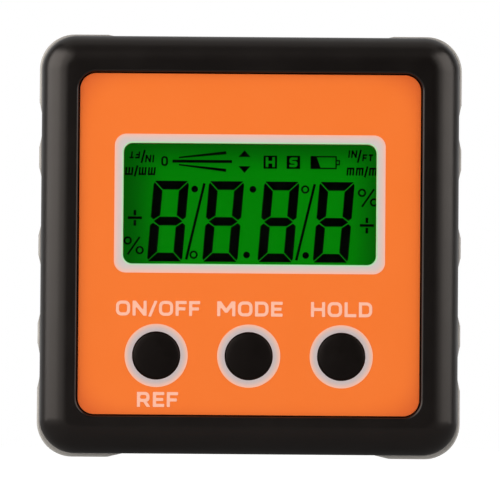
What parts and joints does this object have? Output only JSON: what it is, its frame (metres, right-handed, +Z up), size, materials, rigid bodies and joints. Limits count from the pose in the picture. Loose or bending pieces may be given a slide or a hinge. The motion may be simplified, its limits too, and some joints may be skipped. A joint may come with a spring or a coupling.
{
  "type": "digital angle gauge",
  "caption": "Square box gauge that shows its tilt on a lit display: aluminium band with flat measuring sides, black bezel, orange face with push buttons, battery door behind.",
  "frame": {"origin": "middle of the footprint, on the surface that the base pads stand on", "axes": "+X to the right seen from the front, +Y from the display towards the battery door, +Z up"},
  "size_m": [0.06, 0.03, 0.06],
  "materials": {
    "aluminium": "satin extruded",
    "black_plastic": "fine matte texture",
    "black_rubber": "matte",
    "orange_label": "satin printed film",
    "clear_lens": "clear",
    "lcd_glass": "gloss",
    "diffuser": "satin",
    "white_plastic": "satin",
    "strip_rubber": "matte",
    "board_resist": "satin",
    "switch_plastic": "matte",
    "plunger_plastic": "satin",
    "chip_epoxy": "matte",
    "crystal_can": "bright",
    "component_ceramic": "satin",
    "diode_resin": "gloss",
    "cell_wrap": "printed film",
    "contact_steel": "nickel plated",
    "magnet_nickel": "nickel plated",
    "screw_steel": "zinc plated"
  },
  "bodies": {
    "case": {"aluminium_band": "aluminium", "front_bezel": "black_plastic", "label_plate": "orange_label", "display_lens": "clear_lens", "lcd_panel": "lcd_glass", "backlight_panel": "diffuser", "lcd_holder": "white_plastic", "zebra_strips": "strip_rubber", "circuit_board": "board_resist", "switch_bodies": "switch_plastic", "tilt_sensor": "chip_epoxy", "controller_chip": "chip_epoxy", "clock_crystal": "crystal_can", "chip_components": "component_ceramic", "backlight_leds": "diode_resin", "rear_cover": "black_plastic", "upper_battery": "cell_wrap", "lower_battery": "cell_wrap", "positive_contact": "contact_steel", "negative_contact": "contact_steel", "link_contact": "contact_steel", "base_magnets": "magnet_nickel", "case_screws": "screw_steel", "board_screws": "screw_steel"},
    "on_off": {"on_off_button": "black_rubber", "on_off_plunger": "plunger_plastic"},
    "mode": {"mode_button": "black_rubber", "mode_plunger": "plunger_plastic"},
    "hold": {"hold_button": "black_rubber", "hold_plunger": "plunger_plastic"},
    "battery_door": {"battery_door": "black_plastic"}
  },
  "joints": [
    {"name": "on_off_press", "type": "slide", "parent": "case", "child": "on_off", "axis": [0, 1, 0], "range_m": [0, 0.0004], "stiffness_N_per_m": 800, "springref_m": -0.0002},
    {"name": "mode_press", "type": "slide", "parent": "case", "child": "mode", "axis": [0, 1, 0], "range_m": [0, 0.0004], "stiffness_N_per_m": 800, "springref_m": -0.0002},
    {"name": "hold_press", "type": "slide", "parent": "case", "child": "hold", "axis": [0, 1, 0], "range_m": [0, 0.0004], "stiffness_N_per_m": 800, "springref_m": -0.0002},
    {"name": "battery_door_swing", "type": "hinge", "parent": "case", "child": "battery_door", "pos_m": [0, 0.015, 0.04245], "axis": [1, 0, 0], "range_deg": [0, 75]}
  ]
}
